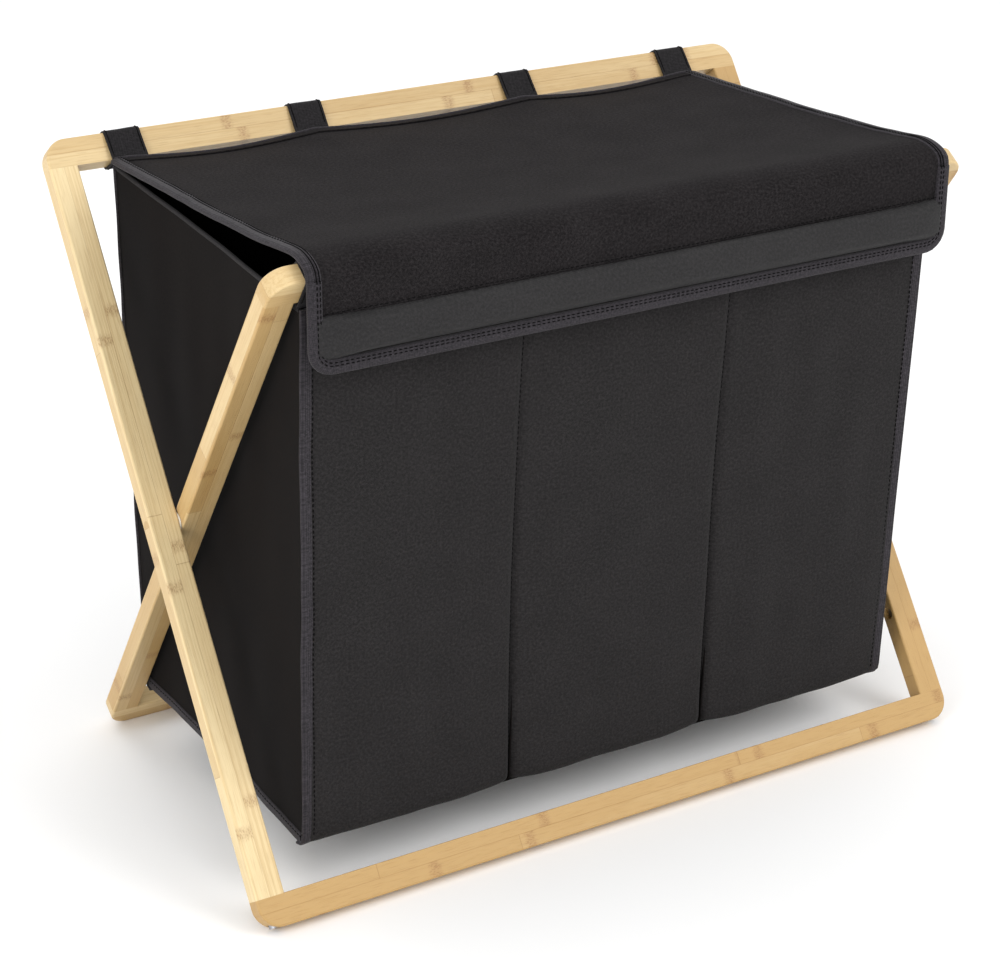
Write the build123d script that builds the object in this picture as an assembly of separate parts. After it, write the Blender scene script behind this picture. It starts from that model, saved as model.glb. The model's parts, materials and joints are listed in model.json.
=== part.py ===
from build123d import *
import math
import os

# Folding laundry sorter: two crossed bamboo frames carry a cloth bag with three compartments and a lid.
# X is the width, Y the depth with the front at -Y, Z is up. The origin is on the floor at the centre.

# frames
frame_width = 720          # outer frame, over its legs
outer_length = 692         # outer frame, measured up its slope
inner_shorter = 12         # the inner frame is this much shorter
tilt = 35                  # lean of each frame from upright, in degrees
bar_width = 26             # bars, across the frame
bar_thickness = 18         # bars, through the frame
corner_round = 20          # outer corners of the rails
edge_round = 2             # long edges of the bars
foot_flat = 1.2            # height taken off the edge that stands on the floor

# pivots
leg_gap = 1.5              # between the outer and the inner legs
moving_gap = 0.3           # between pieces that pass each other
running_fit = 0.05         # radial, between the bolt and the leg that turns on it
pivot_bolt_radius = 3
pivot_head_radius = 5
pivot_head_height = 3
plug_radius = 6.5
plug_depth = 4
pivot_nut_radius = 5
pivot_nut_height = 4
nut_inset = 1
nut_room = 0.4             # radial, round the nut in its recess
washer_radius = 9

# corner fixings
frame_bolt_radius = 3
bolt_hole_room = 0.2       # radial, round the shank
bolt_head_radius = 5
bolt_head_height = 4
bolt_head_room = 0.5       # radial, round the head
bolt_head_inset = 1
barrel_height = 107        # from the foot up the leg to the barrel nut
barrel_radius = 5
barrel_length = 14
barrel_inset = 5
barrel_rim = 1             # chamfer at the mouth of its hole
bolt_past_barrel = 3
dowel_radius = 4
dowel_in_rail = 16
dowel_in_leg = 22

# bag
cloth = 3                  # front, back and bottom panels
side_cloth = 2.5
divider_cloth = 2
side_clearance = 4         # from the outside of the bag to the inner legs
front_seam_drop = 4        # from the lowest edge of the front rail to the seam where the bag hangs
back_seam_forward = 20     # from the back rail's centre to the seam that joins bag, lid and loops
back_seam_drop = 5.5
front_seam_room = 2        # from a seam's axis to the top of its panel
back_seam_room = 4
front_taper = 22           # the front panel leans in by this much at the bottom
back_taper = 9
bag_bottom = 48            # underside of the bag above the floor
side_sag = 18              # dip in the top edge of the sides
divider_drop = 30          # dividers stop this far below the seams
divider_place = 101        # from the centre to a divider
panel_gap = 0.5            # between panels that part when the frame folds
binding_width = 12
binding_proud = 1.2

# loops
loop_width = 34
loop_cloth = 1.6
loop_room = 0.6            # between a loop and its rail
loop_from_edge = 14.5      # from the edge of the bag to the middle of an outer loop
loop_from_centre = 110     # the two inner loops

# lid
lid_overhang = 4           # past the bag at each side
lid_cloth = 2.5
lid_room = 2.8             # between the lid and the front rail, for the loops
hem_radius = 1.5
valance_clearance = 3.2    # between the front rail and the flap that hangs before it
valance_drop = 84          # from the top of the front rail to the hem
upper_band = 38            # of that, down to the seam between the bands
valance_cloth = 3
padded_cloth = 4.5
stiffener_thickness = 1.2
stiffener_margin = 6
hem_height = 9
hem_thickness = 5.5
lid_binding_width = 12

inner_length = outer_length - inner_shorter
pivot_from_foot = outer_length / 2  # from the foot of either frame to the pivot, up the slope
lean_sin = math.sin(math.radians(tilt))
lean_cos = math.cos(math.radians(tilt))
half_thickness = bar_thickness / 2
edge_drop = bar_width / 2 * lean_cos + half_thickness * lean_sin
foot_middle = pivot_from_foot - bar_width / 2
pivot_height = foot_middle * lean_cos + edge_drop - foot_flat
inner_frame_width = frame_width - 2 * (bar_width + leg_gap)
bag_half = inner_frame_width / 2 - bar_width - side_clearance
outer_loop = bag_half - loop_from_edge
loop_places = (-outer_loop, -loop_from_centre, loop_from_centre, outer_loop)
outer_top = outer_length - pivot_from_foot
inner_top = inner_length - pivot_from_foot


def stand(piece, lean):
    """From a frame lying flat, pivot at the origin and up the slope along Y, to its place."""
    return Pos(0, 0, pivot_height) * Rot(90 - lean, 0, 0) * piece


def rail_centre(lean, top):
    up = top - bar_width / 2
    side = 1 if lean > 0 else -1
    return side * up * lean_sin, pivot_height + up * lean_cos


def along_x(radius, x0, x1, y=0, z=0):
    middle = (x0 + x1) / 2
    return Pos(middle, y, z) * Rot(0, 90, 0) * Cylinder(radius, abs(x1 - x0))


def up_slope(radius, x, s0, s1):
    return Pos(x, (s0 + s1) / 2, 0) * Rot(90, 0, 0) * Cylinder(radius, abs(s1 - s0))


def rail(width, outer_edge, outward):
    """A rail whose outer edge is at outer_edge up the slope; outward is +1 at the top, -1 at the foot."""
    middle = outer_edge - outward * bar_width / 2
    outline = Pos(0, middle) * Rectangle(width, bar_width)
    corners = outline.vertices().sort_by(Axis.Y)
    corners = corners[-2:] if outward > 0 else corners[:2]
    outline = fillet(corners, corner_round)
    bar = extrude(outline, amount=half_thickness, both=True)
    inner_edge = middle - outward * bar_width / 2
    rounded = []
    for edge in bar.edges():
        place = edge.center()
        on_face = abs(abs(place.Z) - half_thickness) < 0.001
        if on_face and abs(place.Y - inner_edge) > 0.001:
            rounded.append(edge)
    return fillet(rounded, edge_round)


def leg(x, low, high):
    bar = Pos(x, (low + high) / 2, 0) * Box(bar_width, high - low, bar_thickness)
    return fillet(bar.edges().filter_by(Axis.Y), edge_round)


def plate(points, x0, x1):
    """A flat-sided solid with this outline in the YZ plane, from x0 to x1."""
    outline = Polyline(*[(x0, y, z) for y, z in points], close=True)
    return extrude(make_face(outline), amount=x1 - x0, dir=(1, 0, 0))


def save(name, piece):
    export_step(piece, f"parts/{name}.step")


os.makedirs("parts", exist_ok=True)
for old in os.listdir("parts"):
    os.remove(os.path.join("parts", old))


# --- frames ---

def build_frame(name, width, top, lean):
    foot = -pivot_from_foot
    leg_x = width / 2 - bar_width / 2
    joint_low = foot + bar_width
    joint_high = top - bar_width
    barrel_up = foot + barrel_height
    top_rail = rail(width, top, 1)
    bottom_rail = rail(width, foot, -1)
    legs = {"left": leg(-leg_x, joint_low, joint_high), "right": leg(leg_x, joint_low, joint_high)}
    bolts, barrels, dowels = [], [], []
    for side, sign in (("left", -1), ("right", 1)):
        x = sign * leg_x
        face = sign * (width / 2 - bar_width)
        bolt_end = barrel_up + barrel_radius + bolt_past_barrel
        shank_start = foot + bolt_head_inset + bolt_head_height
        shank_hole = up_slope(frame_bolt_radius + bolt_hole_room, x, foot, bolt_end + bolt_past_barrel)
        head_hole = up_slope(bolt_head_radius + bolt_head_room, x, foot - 1, shank_start)
        bottom_rail = bottom_rail - shank_hole - head_hole
        hole_depth = barrel_inset + barrel_length + 1
        barrel_hole = along_x(barrel_radius, face, face + sign * hole_depth, barrel_up)
        rim = Pos(face, barrel_up, 0) * Rot(0, 90 * sign, 0)
        rim = rim * Pos(0, 0, barrel_rim / 2) * Cone(barrel_radius + barrel_rim, barrel_radius, barrel_rim)
        legs[side] = legs[side] - shank_hole - barrel_hole - rim
        shank = up_slope(frame_bolt_radius, x, shank_start, bolt_end)
        head = up_slope(bolt_head_radius, x, foot + bolt_head_inset, shank_start)
        socket = up_slope(2, x, foot + bolt_head_inset, foot + bolt_head_inset + 2.5)
        bolts.append(shank + head - socket)
        barrel_start = face + sign * barrel_inset
        barrel = along_x(barrel_radius, barrel_start, barrel_start + sign * barrel_length, barrel_up)
        slot = Pos(barrel_start, barrel_up, 0) * Box(2, 2 * barrel_radius, 1.2)
        barrels.append(barrel - up_slope(frame_bolt_radius, x, foot, bolt_end) - slot)
        dowel = up_slope(dowel_radius, x, joint_high - dowel_in_leg, joint_high + dowel_in_rail)
        top_rail = top_rail - dowel
        legs[side] = legs[side] - dowel
        dowels.append(dowel)
    floor_cut = Pos(0, 0, -50) * Box(2 * frame_width, 2 * outer_length, 100)
    save(f"{name}_top_rail", stand(top_rail, lean))
    save(f"{name}_bottom_rail", stand(bottom_rail, lean) - floor_cut)
    save(f"{name}_frame_bolts", stand(Compound(bolts), lean))
    save(f"{name}_barrel_nuts", stand(Compound(barrels), lean))
    save(f"{name}_dowels", stand(Compound(dowels), lean))
    return legs


outer_legs = build_frame("outer", frame_width, outer_top, tilt)
inner_legs = build_frame("inner", inner_frame_width, inner_top, -tilt)

outside = frame_width / 2
outer_inside = outside - bar_width
inner_outside = inner_frame_width / 2
inner_inside = inner_outside - bar_width
head_start = outside - plug_depth - pivot_head_height
nut_end = inner_inside + nut_inset + pivot_nut_height
pivot_bolts, pivot_nuts, washers, plugs = [], [], [], []
for side, sign in (("left", -1), ("right", 1)):
    shank_end = inner_inside + nut_inset
    shank = along_x(pivot_bolt_radius, sign * shank_end, sign * head_start)
    head = along_x(pivot_head_radius, sign * head_start, sign * (outside - plug_depth))
    pivot_bolts.append(shank + head)
    nut = along_x(pivot_nut_radius, sign * shank_end, sign * nut_end)
    pivot_nuts.append(nut - along_x(pivot_bolt_radius, 0, sign * outside))
    washer_face = sign * (outer_inside - leg_gap + moving_gap)
    washer = along_x(washer_radius, sign * outer_inside, washer_face)
    washers.append(washer - along_x(pivot_bolt_radius, 0, sign * outside))
    plugs.append(along_x(plug_radius, sign * (outside - plug_depth), sign * outside))
    outer_leg = outer_legs[side] - along_x(pivot_bolt_radius, 0, sign * outside)
    outer_leg = outer_leg - along_x(plug_radius, sign * head_start, sign * outside)
    save(f"outer_{side}_leg", stand(outer_leg, tilt))
    turning_hole = along_x(pivot_bolt_radius + running_fit, 0, sign * outside)
    recess = along_x(pivot_nut_radius + nut_room, 0, sign * (nut_end + moving_gap))
    save(f"inner_{side}_leg", stand(inner_legs[side] - turning_hole - recess, -tilt))
for name, pieces in (("bolts", pivot_bolts), ("nuts", pivot_nuts), ("washers", washers), ("plugs", plugs)):
    save(f"pivot_{name}", stand(Compound(pieces), tilt))


# --- loops round the two top rails ---

back_rail_y, back_rail_z = rail_centre(tilt, outer_top)
front_rail_y, front_rail_z = rail_centre(-tilt, inner_top)
back_seam = (back_rail_y - back_seam_forward, back_rail_z - back_seam_drop)
front_seam = (front_rail_y, front_rail_z - edge_drop - front_seam_drop)


def loop(x, top, lean):
    reach = loop_room + loop_cloth
    middle = top - bar_width / 2
    outer = Box(loop_width, bar_width + 2 * reach, bar_thickness + 2 * reach)
    outer = fillet(outer.edges().filter_by(Axis.X), edge_round + loop_cloth)
    inner = Box(loop_width + 2, bar_width + 2 * loop_room, bar_thickness + 2 * loop_room)
    inner = fillet(inner.edges().filter_by(Axis.X), edge_round)
    return stand(Pos(x, middle, 0) * (outer - inner), lean)


for number, x in enumerate(loop_places, start=1):
    save(f"back_loop_{number}", loop(x, outer_top, tilt))
    save(f"front_loop_{number}", loop(x, inner_top, -tilt))


# --- bag ---

panel_half = bag_half - side_cloth
front_top = (front_seam[0], front_seam[1] - front_seam_room)
front_foot = (front_seam[0] + front_taper, bag_bottom)
back_top = (back_seam[0], back_seam[1] - back_seam_room)
back_foot = (back_seam[0] - back_taper, bag_bottom)


def on_panel(top, foot, z):
    """Y of a panel's middle at this height."""
    return top[0] + (foot[0] - top[0]) * (top[1] - z) / (top[1] - foot[1])


def wall(top, foot, thickness, x0, x1):
    h = thickness / 2
    outline = [(top[0] - h, top[1]), (top[0] + h, top[1]), (foot[0] + h, foot[1]), (foot[0] - h, foot[1])]
    return plate(outline, x0, x1)


save("bag_front_panel", wall(front_top, front_foot, cloth, -bag_half, bag_half))
save("bag_back_panel", wall(back_top, back_foot, cloth, -bag_half, bag_half))


def cross_outline(top_drop, sag, floor_z):
    """Outline of a panel that runs from the front wall to the back wall."""
    h = cloth / 2
    low = floor_z
    front_high = front_top[1] - top_drop
    back_high = back_top[1] - top_drop
    front = [(on_panel(front_top, front_foot, z) + h + panel_gap, z) for z in (low, front_high)]
    back = [(on_panel(back_top, back_foot, z) - h, z) for z in (back_high, low)]
    dip = [(front[1][0] * 0.4, front_high - sag), (back[0][0] * 0.4, back_high - sag)]
    return [front[0], front[1], *dip, back[0], back[1]]


bag_floor_top = bag_bottom + cloth
for name, sign in (("left", -1), ("right", 1)):
    x_in, x_out = sign * panel_half, sign * bag_half
    side = plate(cross_outline(0, side_sag, bag_floor_top), min(x_in, x_out), max(x_in, x_out))
    save(f"bag_{name}_side", side)
    middle = sign * divider_place
    divider = plate(cross_outline(divider_drop, side_sag, bag_floor_top), middle - divider_cloth / 2,
                    middle + divider_cloth / 2)
    save(f"bag_{name}_divider", divider)
    # tapes that bind the upright edges, folded over the panels from outside
    x_low = sign * (bag_half - binding_width)
    edge = (min(x_low, x_out), max(x_low, x_out))
    h = cloth / 2
    front_shift = ((front_top[0] - h - binding_proud / 2, front_top[1]),
                   (front_foot[0] - h - binding_proud / 2, front_foot[1]))
    save(f"front_{name}_binding", wall(*front_shift, binding_proud, *edge))
    back_shift = ((back_top[0] + h + binding_proud / 2, back_top[1]),
                  (back_foot[0] + h + binding_proud / 2, back_foot[1]))
    save(f"back_{name}_binding", wall(*back_shift, binding_proud, *edge))
    y_front = on_panel(front_top, front_foot, bag_floor_top) + h + panel_gap
    y_back = on_panel(back_top, back_foot, bag_bottom + binding_width) - h
    tape_x = (sign * bag_half, sign * (bag_half + binding_proud))
    tape = [(y_front + 1, bag_bottom), (y_front + 1, bag_bottom + binding_width),
            (y_back, bag_bottom + binding_width), (y_back, bag_bottom)]
    save(f"bottom_{name}_binding", plate(tape, min(tape_x), max(tape_x)))

floor_front = on_panel(front_top, front_foot, bag_bottom) + cloth / 2 + panel_gap
floor_back = on_panel(back_top, back_foot, bag_bottom) - cloth / 2
floor_points = [(floor_front, bag_bottom), (floor_front, bag_floor_top),
                (floor_back, bag_floor_top), (floor_back, bag_bottom)]
save("bag_bottom", plate(floor_points, -bag_half, bag_half))


# --- lid ---

lid_half = bag_half + lid_overhang
rail_top_z = front_rail_z + edge_drop
rail_nose = bar_width / 2 * lean_sin + half_thickness * lean_cos
flap_y = front_rail_y - rail_nose - valance_clearance
over_z = rail_top_z + lid_room / lean_cos
over_y = front_rail_y + half_thickness * lean_cos - bar_width / 2 * lean_sin
bend_z = over_z - (over_y - flap_y) * lean_sin / lean_cos
lid_back = back_seam[0] - hem_radius - panel_gap
lid_outline = [(lid_back, back_seam[1] - lid_cloth / 2), (over_y, over_z), (flap_y, bend_z),
               (flap_y - lid_cloth, bend_z), (over_y - lid_cloth, over_z + lid_cloth),
               (lid_back, back_seam[1] + lid_cloth / 2)]
tape_inner = lid_half - lid_binding_width
save("lid_top", plate(lid_outline, -tape_inner, tape_inner))
save("lid_left_binding", plate(lid_outline, -lid_half, -tape_inner))
save("lid_right_binding", plate(lid_outline, tape_inner, lid_half))
save("lid_back_hem", along_x(hem_radius, -bag_half, bag_half, *back_seam))

band_z = rail_top_z - upper_band
hem_z = rail_top_z - valance_drop


def slab(y_back, thickness, z_low, z_high, half):
    return plate([(y_back, z_low), (y_back, z_high), (y_back - thickness, z_high), (y_back - thickness, z_low)],
                 -half, half)


save("flap_upper_band", slab(flap_y, valance_cloth, band_z, bend_z - panel_gap, lid_half))
stiffener_y = flap_y - (padded_cloth - stiffener_thickness) / 2
stiffener = slab(stiffener_y, stiffener_thickness, hem_z + hem_height + stiffener_margin,
                 band_z - stiffener_margin, lid_half - stiffener_margin)
save("flap_stiffener", stiffener)
save("flap_lower_band", slab(flap_y, padded_cloth, hem_z + hem_height, band_z, lid_half) - stiffener)
save("flap_hem", slab(flap_y, hem_thickness, hem_z, hem_z + hem_height, lid_half))

print("pivot", round(pivot_height, 2), "bag half", bag_half, "back seam", back_seam, "front seam", front_seam)
print("flap y", flap_y, "rail centres", back_rail_y, back_rail_z, front_rail_y, front_rail_z)
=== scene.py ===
import json
import math

import bmesh
import bpy
import numpy as np
from mathutils import Matrix, Vector


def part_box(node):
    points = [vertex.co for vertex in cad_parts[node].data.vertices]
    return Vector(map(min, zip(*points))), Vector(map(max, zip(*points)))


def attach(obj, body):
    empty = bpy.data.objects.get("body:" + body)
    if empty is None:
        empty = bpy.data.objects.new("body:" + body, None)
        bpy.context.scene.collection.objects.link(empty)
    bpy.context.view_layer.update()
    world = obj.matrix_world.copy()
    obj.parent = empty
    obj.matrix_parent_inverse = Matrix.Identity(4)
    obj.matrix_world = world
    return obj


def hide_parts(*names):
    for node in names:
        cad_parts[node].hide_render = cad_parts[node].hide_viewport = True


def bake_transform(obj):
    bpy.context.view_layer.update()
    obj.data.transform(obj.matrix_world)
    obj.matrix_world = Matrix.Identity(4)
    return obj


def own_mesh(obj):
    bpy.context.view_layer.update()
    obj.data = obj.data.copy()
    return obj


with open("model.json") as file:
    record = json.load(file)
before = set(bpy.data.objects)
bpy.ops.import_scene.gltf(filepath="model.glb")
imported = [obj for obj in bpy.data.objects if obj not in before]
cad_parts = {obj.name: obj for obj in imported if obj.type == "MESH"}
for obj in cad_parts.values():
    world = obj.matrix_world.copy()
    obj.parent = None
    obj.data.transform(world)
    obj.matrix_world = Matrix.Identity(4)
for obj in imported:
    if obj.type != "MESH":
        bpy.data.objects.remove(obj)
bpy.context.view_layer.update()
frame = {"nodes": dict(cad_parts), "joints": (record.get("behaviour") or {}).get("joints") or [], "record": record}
cadNodes = frame["nodes"]
joints = {j["name"]: j for j in frame["joints"]}
slotOf = {p["node"]: p["material_slot"] for p in frame["record"]["subparts"]}
scene = bpy.context.scene
tilt = math.radians(35)  # how far each frame leans from upright
print("frame loaded:", len(cadNodes), "nodes")


# shader arithmetic: one output socket, whose operators add Math nodes
class Wire:
    def __init__(self, paint, socket):
        self.paint = paint
        self.socket = socket

    def math(self, operation, *others):
        return self.paint.math(operation, self, *others)

    def __add__(self, other):
        return self.math("ADD", other)

    def __radd__(self, other):
        return self.paint.math("ADD", other, self)

    def __sub__(self, other):
        return self.math("SUBTRACT", other)

    def __rsub__(self, other):
        return self.paint.math("SUBTRACT", other, self)

    def __mul__(self, other):
        return self.math("MULTIPLY", other)

    def __rmul__(self, other):
        return self.paint.math("MULTIPLY", other, self)

    def __truediv__(self, other):
        return self.math("DIVIDE", other)

    def __rtruediv__(self, other):
        return self.paint.math("DIVIDE", other, self)


class Paint:
    def __init__(self, name):
        self.material = bpy.data.materials.new(name)
        self.material.use_nodes = True
        self.tree = self.material.node_tree
        self.tree.nodes.clear()
        self.shader = self.tree.nodes.new("ShaderNodeBsdfPrincipled")  # the one shader of every finish here
        surface = self.tree.nodes.new("ShaderNodeOutputMaterial")
        self.tree.links.new(self.shader.outputs["BSDF"], surface.inputs["Surface"])

    def put(self, socket, value):
        if isinstance(value, Wire):
            self.tree.links.new(value.socket, socket)
        else:
            socket.default_value = value

    def node(self, kind, settings=None, sockets=None, output=0):
        made = self.tree.nodes.new("ShaderNode" + kind)
        for key, value in (settings or {}).items():
            setattr(made, key, value)
        for key, value in (sockets or {}).items():
            self.put(made.inputs[key], value)
        return Wire(self, made.outputs[output])

    def math(self, operation, *values):
        return self.node("Math", {"operation": operation}, dict(enumerate(values)))

    def dot(self, place, direction):
        return self.node("VectorMath", {"operation": "DOT_PRODUCT"}, {0: place, 1: direction}, "Value")

    def spot(self, x, y=0.0, z=0.0):
        return self.node("CombineXYZ", None, {"X": x, "Y": y, "Z": z})

    def chance(self, x, y=0.0, z=0.0):  # a number from 0 to 1 for each cell
        return self.node("TexWhiteNoise", {"noise_dimensions": "3D"}, {"Vector": self.spot(x, y, z)}, "Value")

    def noise(self, place, scale=1.0, detail=2.0):
        return self.node("TexNoise", None, {"Vector": place, "Scale": scale, "Detail": detail})

    def blend(self, share, first, second, how="MIX"):
        settings = {"data_type": "RGBA", "blend_type": how}
        return self.node("Mix", settings, {0: share, 6: first, 7: second}, 2)

    def soft(self, value, low, high):  # 0 below low, 1 above high
        return self.node("MapRange", {"interpolation_type": "SMOOTHSTEP"}, {0: value, 1: low, 2: high})

    def bump(self, height, distance, strength=1.0):
        return self.node("Bump", None, {"Height": height, "Distance": distance, "Strength": strength})

    def set(self, **values):
        for key, value in values.items():
            self.put(self.shader.inputs[key.replace("_", " ")], value)
        return self.material


def colour(red, green, blue):  # from display values, 0 to 255
    return tuple(((c / 255 + 0.055) / 1.055) ** 2.4 if c > 10 else c / 255 / 12.92 for c in (red, green, blue)) + (1,)


# bamboo: two strips side by side in each bar, butted end to end
bambooLook = {
    "pale": colour(225, 203, 156),
    "honey": colour(183, 147, 90),
    "brown": colour(140, 92, 44),
    "strip": 0.013,
    "length": 0.37,
    "nodeSpacing": 0.21,
    "nodeWidth": 0.0035,
    "fibres": 620.0,  # across the grain, per metre
    "startAt": 0.7,  # keeps the run along a bar above nought
    "streakShare": 0.42,
    "fleckShare": 0.22,
    "bandShare": 0.2,
    "dotShare": 0.5,
    "buttShare": 0.45,
    "glueShare": 0.28,
    "rough": 0.4,
    "relief": 0.00022,
    # per-bar tone with painted shade mixed in: outer_right_leg is darkened to stand in for the shade on its faces
    "toneAndShade": {"outer_left_leg": 0.0, "outer_right_leg": 1.1, "outer_bottom_rail": 0.95, "outer_top_rail": 0.2},
    "otherwiseToneAndShade": 0.4,  # toneAndShade: how far a bar's tone goes from pale to honey, partly the bar's own tone and partly painted shade
}


def bambooPaint(name, along, across, middle, seed, toneAndShade):
    look = bambooLook
    p = Paint(name)
    place = p.node("TexCoord", None, None, "Object")
    s = p.dot(place, along) + look["startAt"]
    w = p.dot(place, across) - (middle @ Vector(across)) + look["strip"]
    t = p.dot(place, tuple(Vector(along).cross(Vector(across))))
    strip = (w / look["strip"]).math("FLOOR")
    run = s / look["length"] + p.chance(strip, seed)
    piece = run.math("FLOOR")
    tone = p.chance(strip, piece, seed + 5)
    streak = p.noise(p.spot(s * 7.0, w * look["fibres"], t * look["fibres"]), 1.0, 3.0)
    fleck = p.noise(p.spot(s * 55.0, w * 2300.0, t * 2300.0), 1.0, 1.0)
    cloud = p.noise(p.spot(s * 9.0, w * 40.0, t * 40.0), 1.0, 2.0)
    fleckMask = p.soft(fleck, 0.56, 0.72)
    nodeRun = s / look["nodeSpacing"] + p.chance(strip, piece, seed + 9)
    waver = (p.noise(p.spot(s * 60.0, w * 420.0, t * 420.0), 1.0, 1.0) - 0.5) * 0.006
    nodeFar = ((nodeRun.math("FRACT") - 0.5) * look["nodeSpacing"] + waver).math("ABSOLUTE")
    band = 1.0 - p.soft(nodeFar, look["nodeWidth"] * 0.3, look["nodeWidth"] * 2.2)
    dots = p.soft(p.noise(p.spot(s * 420.0, w * 1500.0, t * 1500.0), 1.0, 0.0), 0.5, 0.62)
    butt = p.soft((run.math("FRACT") - 0.5).math("ABSOLUTE"), 0.4990, 0.4997)
    glue = 1.0 - p.soft((w - look["strip"]).math("ABSOLUTE"), 0.00012, 0.00035)
    # the bar's tone share carries painted shade for the bars darkened for their shade
    base = p.blend(p.soft(tone, 0.1, 1.0) * 0.5 + (cloud - 0.5) * 0.5 + toneAndShade, look["pale"], look["honey"])
    base = p.blend(p.soft(streak, 0.42, 0.75) * look["streakShare"], base, look["honey"])
    base = p.blend(fleckMask * look["fleckShare"] + band * look["bandShare"], base, look["brown"])
    base = p.blend(band * dots * look["dotShare"], base, look["brown"])
    base = p.blend((butt * look["buttShare"]).math("MAXIMUM", glue * look["glueShare"]), base, look["brown"])
    height = streak * 0.6 - fleckMask * 0.4 - butt * 1.2 - glue * 0.7 + band * 0.6
    return p.set(Base_Color=base, Roughness=look["rough"] + streak * 0.14, Normal=p.bump(height, look["relief"], 0.7),
                 Coat_Weight=0.08, Coat_Roughness=0.35)


metalLook = {"zinc": colour(176, 178, 182), "dull": colour(140, 142, 148), "brush": 900.0, "cloud": 160.0}


def zincPaint():
    p = Paint("zincPlate")
    place = p.node("TexCoord", None, None, "Object")
    brush = p.noise(place, metalLook["brush"], 3.0)
    cloud = p.noise(place, metalLook["cloud"], 2.0)
    tint = p.blend(cloud, metalLook["zinc"], metalLook["dull"])
    return p.set(Base_Color=tint, Metallic=1.0, Roughness=0.28 + brush * 0.2, Normal=p.bump(brush, 0.00004))


nylonLook = {"light": colour(236, 233, 224), "dark": colour(218, 214, 204), "grain": 1400.0}


def nylonPaint():
    p = Paint("nylonWasher")
    place = p.node("TexCoord", None, None, "Object")
    grain = p.noise(place, nylonLook["grain"], 2.0)
    tint = p.blend(grain, nylonLook["light"], nylonLook["dark"])
    return p.set(Base_Color=tint, Roughness=0.45 + grain * 0.12, Normal=p.bump(grain, 0.00003))


beechLook = {"light": colour(222, 190, 150), "dark": colour(188, 146, 104), "fleck": 900.0}


def beechPaint():
    p = Paint("beechDowel")
    place = p.node("TexCoord", None, None, "Object")
    fleck = p.noise(place, beechLook["fleck"], 3.0)
    tint = p.blend(fleck, beechLook["light"], beechLook["dark"])
    return p.set(Base_Color=tint, Roughness=0.55 + fleck * 0.1, Normal=p.bump(fleck, 0.00008))


# cloth: weaves are laid out in the flat cloth's own metres
clothLooks = {
    "twill": {"low": colour(18, 17, 17), "high": colour(53, 50, 51), "pitch": 0.0011, "slant": 1.0, "relief": 0.00012,
              "rough": 0.8, "sheen": 0.03, "patch": 0.12, "shine": 0.2},
    "lidTwill": {"low": colour(17, 15, 16), "high": colour(53, 50, 51), "pitch": 0.0011, "slant": 1.0,
                 "relief": 0.00012, "rough": 0.85, "sheen": 0.0, "patch": 0.16, "shine": 0.1},
    "lining": {"low": colour(7, 5, 5), "high": colour(24, 19, 17), "pitch": 0.0016, "slant": 0.0, "relief": 0.00008,
               "rough": 0.88, "sheen": 0.01, "patch": 0.2, "shine": 0.12},
    "tape": {"low": colour(24, 22, 25), "high": colour(72, 67, 73), "pitch": 0.0014, "slant": 0.0, "relief": 0.00022,
             "rough": 0.75, "sheen": 0.06, "patch": 0.12, "shine": 0.25},
    "webbing": {"low": colour(14, 13, 14), "high": colour(48, 45, 48), "pitch": 0.0016, "slant": 0.5,
                "relief": 0.00022, "rough": 0.78, "sheen": 0.04, "patch": 0.1, "shine": 0.22},
    "quilt": {"low": colour(13, 12, 13), "high": colour(48, 46, 47), "pitch": 0.0011, "slant": 1.0, "relief": 0.00013,
              "rough": 0.62, "sheen": 0.06, "patch": 0.18, "shine": 0.3},
}


def clothPaint(name, fromPlace=False):
    look = clothLooks[name]
    p = Paint(name + "Cloth")
    if fromPlace:  # a remeshed piece has no flat layout, so its weave follows its width and height
        flat = p.node("TexCoord", None, None, "Object")
        u, v = p.dot(flat, (1, 0, 0)), p.dot(flat, (0, 0, 1))
    else:
        flat = p.node("UVMap", {"uv_map": "cut"})
        u, v = p.dot(flat, (1, 0, 0)), p.dot(flat, (0, 1, 0))
    turn = math.tau / look["pitch"]
    uneven = (p.noise(p.spot(u * 90.0, v * 90.0), 1.0, 2.0) - 0.5) * 3.0
    warp = ((u + v * look["slant"]) * turn + uneven).math("SINE")
    weft = ((v - u * look["slant"] * 0.12) * turn).math("SINE")
    weave = warp * 0.32 + weft * 0.18 + warp * weft * 0.2 + 0.5
    yarn = p.noise(p.spot(u * 950.0, v * 950.0), 1.0, 2.0)
    slub = p.noise(p.spot(u * 420.0, v * 420.0), 1.0, 2.0)
    patch = p.noise(p.spot(u * 22.0, v * 22.0), 1.0, 3.0)
    lint = p.soft(p.noise(p.spot(u * 380.0, v * 240.0), 1.0, 1.0), 0.66, 0.78)
    share = weave * 0.5 + (yarn - 0.5) * 0.9 + (slub - 0.5) * 1.1 + (patch - 0.5) * look["patch"] * 2.0 + lint * 0.15
    tint = p.blend(share, look["low"], look["high"])
    height = weave * 0.7 + yarn * 0.5 + slub * 0.7
    return p.set(Base_Color=tint, Roughness=look["rough"] + yarn * 0.15, Normal=p.bump(height, look["relief"], 0.8),
                 Sheen_Weight=look["sheen"], Sheen_Roughness=0.45, Specular_IOR_Level=look["shine"])


# black thread, coloured darker than the tape to stand in for the shade in the stitch holes: partly its own colour,
# partly painted shade
threadLook = {"dark": colour(3, 3, 3), "light": colour(14, 13, 14), "twist": 9000.0}


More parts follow.
